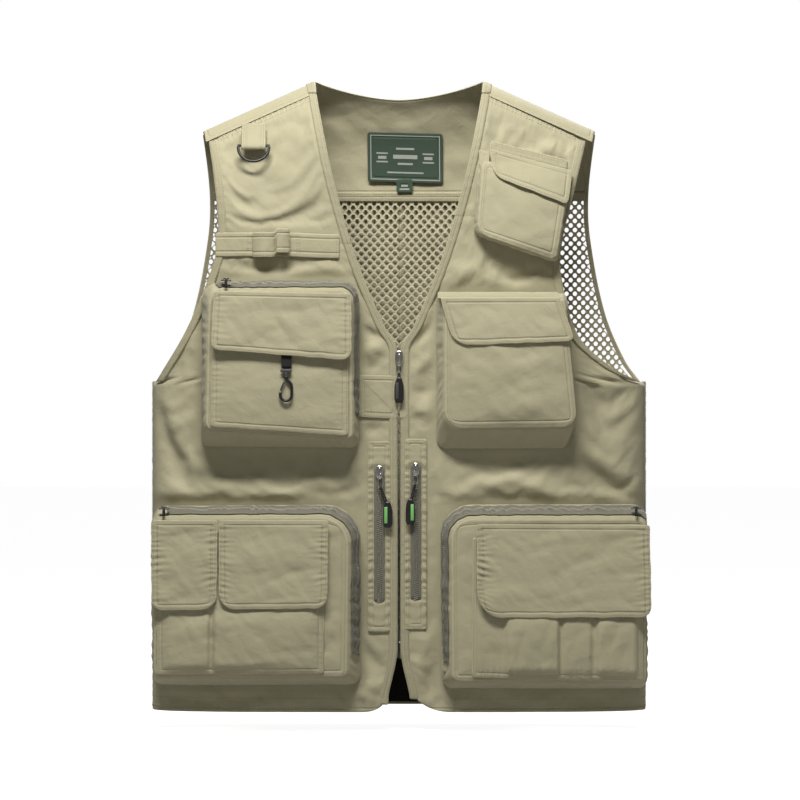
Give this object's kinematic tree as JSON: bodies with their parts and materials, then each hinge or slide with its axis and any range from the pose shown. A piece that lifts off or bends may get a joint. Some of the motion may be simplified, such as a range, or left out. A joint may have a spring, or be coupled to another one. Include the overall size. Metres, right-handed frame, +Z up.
{
  "type": "fishing vest",
  "caption": "Sleeveless fishing vest with a net back, zip front, flapped box pockets with zips, hand-pocket zips, a D-ring, a rod strap and a snap hook",
  "frame": {"origin": "on the shoulder line, midway between the two neck points", "axes": "+Z up, -Y the wearer's front, +X the wearer's left"},
  "size_m": [0.534, 0.1718, 0.68],
  "materials": {
    "vest_cloth": "thin tightly woven khaki polyester with a faint sheen",
    "mesh_net": "open knitted net with diamond holes",
    "binding_tape": "folded woven edge binding",
    "dark_lining": "matt dark lining cloth",
    "label_cloth": "plain dark green woven label",
    "zip_tape": "herringbone zip tape with a nylon coil",
    "zip_metal": "bright nickel-plated zinc",
    "black_plastic": "black moulded nylon"
  },
  "bodies": {
    "back": {"back_yoke": "vest_cloth", "back_mesh": "mesh_net", "back_hem_band": "vest_cloth", "back_hem_facing": "dark_lining", "back_cargo_pocket": "vest_cloth", "back_neck_binding": "binding_tape", "neck_label": "label_cloth", "shoulder_yoke_right": "vest_cloth", "shoulder_yoke_left": "vest_cloth", "back_armhole_binding_right": "binding_tape", "back_armhole_binding_left": "binding_tape"},
    "chest_right": {"chest_panel_right": "vest_cloth", "neck_binding_right": "binding_tape", "d_ring_tab": "vest_cloth", "rod_strap_base": "vest_cloth"},
    "chest_left": {"chest_panel_left": "vest_cloth", "neck_binding_left": "binding_tape", "small_bag": "vest_cloth"},
    "front_right": {"front_panel_right": "vest_cloth", "placket_right": "binding_tape", "main_zip_chain_right": "zip_tape", "hand_zip_right": "zip_tape", "inner_pocket_right": "dark_lining", "chest_bag": "vest_cloth", "chest_zip": "zip_tape", "chest_patch": "vest_cloth", "hook_webbing": "black_plastic", "lower_right_bag": "vest_cloth", "lower_right_zip": "zip_tape", "lower_right_patch": "vest_cloth", "closure_tab": "vest_cloth"},
    "front_left": {"front_panel_left": "vest_cloth", "placket_left": "binding_tape", "main_zip_chain_left": "zip_tape", "hand_zip_left": "zip_tape", "inner_pocket_left": "dark_lining", "mid_bag": "vest_cloth", "lower_left_bag": "vest_cloth", "lower_left_zip": "zip_tape", "lower_left_pleats": "vest_cloth"},
    "main_slider": {"main_slider": "zip_metal"},
    "main_pull": {"main_pull": "black_plastic"},
    "hand_slider_right": {"hand_slider_right": "zip_metal"},
    "hand_slider_left": {"hand_slider_left": "zip_metal"},
    "hand_pull_right": {"hand_pull_right": "black_plastic"},
    "hand_pull_left": {"hand_pull_left": "black_plastic"},
    "chest_slider": {"chest_slider": "zip_metal"},
    "lower_right_slider": {"lower_right_slider": "zip_metal"},
    "lower_left_slider": {"lower_left_slider": "zip_metal"},
    "chest_flap": {"chest_flap": "vest_cloth"},
    "lower_right_flap_small": {"lower_right_flap_small": "vest_cloth"},
    "lower_right_flap_large": {"lower_right_flap_large": "vest_cloth"},
    "small_flap": {"small_flap": "vest_cloth"},
    "mid_flap": {"mid_flap": "vest_cloth"},
    "lower_left_flap": {"lower_left_flap": "vest_cloth"},
    "d_ring": {"d_ring": "black_plastic"},
    "snap_hook": {"hook_swivel": "black_plastic", "snap_hook": "black_plastic"},
    "hook_gate": {"hook_gate": "zip_metal"},
    "rod_strap": {"rod_strap": "vest_cloth"}
  },
  "joints": [
    {"name": "chest_right_open", "type": "hinge", "parent": "back", "child": "chest_right", "pos_m": [-0.269, 0, -0.2], "axis": [0, 0, -1], "range_deg": [0, 10]},
    {"name": "front_right_open", "type": "hinge", "parent": "chest_right", "child": "front_right", "pos_m": [-0.269, 0, -0.4], "axis": [0, 0, -1], "range_deg": [0, 10]},
    {"name": "chest_left_open", "type": "hinge", "parent": "back", "child": "chest_left", "pos_m": [0.269, 0, -0.2], "axis": [0, 0, 1], "range_deg": [0, 10]},
    {"name": "front_left_open", "type": "hinge", "parent": "chest_left", "child": "front_left", "pos_m": [0.269, 0, -0.4], "axis": [0, 0, 1], "range_deg": [0, 10]},
    {"name": "main_zip_slide", "type": "slide", "parent": "front_left", "child": "main_slider", "axis": [0, 0, -1], "range_m": [0, 0.305]},
    {"name": "main_pull_swing", "type": "hinge", "parent": "main_slider", "child": "main_pull", "pos_m": [0, -0.06404, -0.304], "axis": [-1, 0, 0], "range_deg": [0, 150]},
    {"name": "hand_zip_right_slide", "type": "slide", "parent": "front_right", "child": "hand_slider_right", "axis": [0, 0, -1], "range_m": [0, 0.13]},
    {"name": "hand_pull_right_swing", "type": "hinge", "parent": "hand_slider_right", "child": "hand_pull_right", "pos_m": [-0.021, -0.06474, -0.426], "axis": [-1, 0, 0], "range_deg": [0, 150]},
    {"name": "hand_zip_left_slide", "type": "slide", "parent": "front_left", "child": "hand_slider_left", "axis": [0, 0, -1], "range_m": [0, 0.13]},
    {"name": "hand_pull_left_swing", "type": "hinge", "parent": "hand_slider_left", "child": "hand_pull_left", "pos_m": [0.018, -0.06474, -0.423], "axis": [-1, 0, 0], "range_deg": [0, 150]},
    {"name": "chest_zip_slide", "type": "slide", "parent": "front_right", "child": "chest_slider", "axis": [1, 0, 0], "range_m": [0, 0.115]},
    {"name": "lower_right_zip_slide", "type": "slide", "parent": "front_right", "child": "lower_right_slider", "axis": [1, 0, 0], "range_m": [0, 0.16]},
    {"name": "lower_left_zip_slide", "type": "slide", "parent": "front_left", "child": "lower_left_slider", "axis": [-1, 0, 0], "range_m": [0, 0.16]},
    {"name": "chest_flap_lift", "type": "hinge", "parent": "front_right", "child": "chest_flap", "pos_m": [-0.12, -0.09518, -0.23], "axis": [-1, 0, 0], "range_deg": [0, 130]},
    {"name": "lower_right_small_lift", "type": "hinge", "parent": "front_right", "child": "lower_right_flap_small", "pos_m": [-0.228, -0.09648, -0.474], "axis": [-1, 0, 0], "range_deg": [0, 130]},
    {"name": "lower_right_large_lift", "type": "hinge", "parent": "front_right", "child": "lower_right_flap_large", "pos_m": [-0.133, -0.09648, -0.474], "axis": [-1, 0, 0], "range_deg": [0, 130]},
    {"name": "small_flap_lift", "type": "hinge", "parent": "chest_left", "child": "small_flap", "pos_m": [0.097, -0.0623, -0.076], "axis": [-0.9641, -0.0754, 0.2546], "range_deg": [0, 130]},
    {"name": "mid_flap_lift", "type": "hinge", "parent": "front_left", "child": "mid_flap", "pos_m": [0.107, -0.084, -0.237], "axis": [-1, 0, 0], "range_deg": [0, 130]},
    {"name": "lower_left_flap_lift", "type": "hinge", "parent": "front_left", "child": "lower_left_flap", "pos_m": [0.175, -0.09848, -0.478], "axis": [-1, 0, 0], "range_deg": [0, 130]},
    {"name": "d_ring_swing", "type": "hinge", "parent": "chest_right", "child": "d_ring", "pos_m": [-0.156, -0.05141, -0.07275], "axis": [-1, 0, 0], "range_deg": [0, 140]},
    {"name": "hook_swing", "type": "hinge", "parent": "front_right", "child": "snap_hook", "pos_m": [-0.12, -0.0945, -0.3118], "axis": [-1, 0, 0], "range_deg": [0, 60]},
    {"name": "hook_gate_press", "type": "hinge", "parent": "snap_hook", "child": "hook_gate", "pos_m": [-0.1218, -0.0945, -0.3265], "axis": [0, -1, 0], "range_deg": [0, 30], "stiffness_Nm_per_rad": 0.002, "springref_deg": -11.46},
    {"name": "rod_strap_open", "type": "hinge", "parent": "chest_right", "child": "rod_strap", "pos_m": [-0.1572, -0.0587, -0.18], "axis": [0, 0, -1], "range_deg": [0, 110]}
  ],
  "couplings": [
    {"joint": "front_right_open", "follows": "chest_right_open", "ratio": 1},
    {"joint": "chest_left_open", "follows": "chest_right_open", "ratio": 1},
    {"joint": "front_left_open", "follows": "chest_right_open", "ratio": 1}
  ]
}
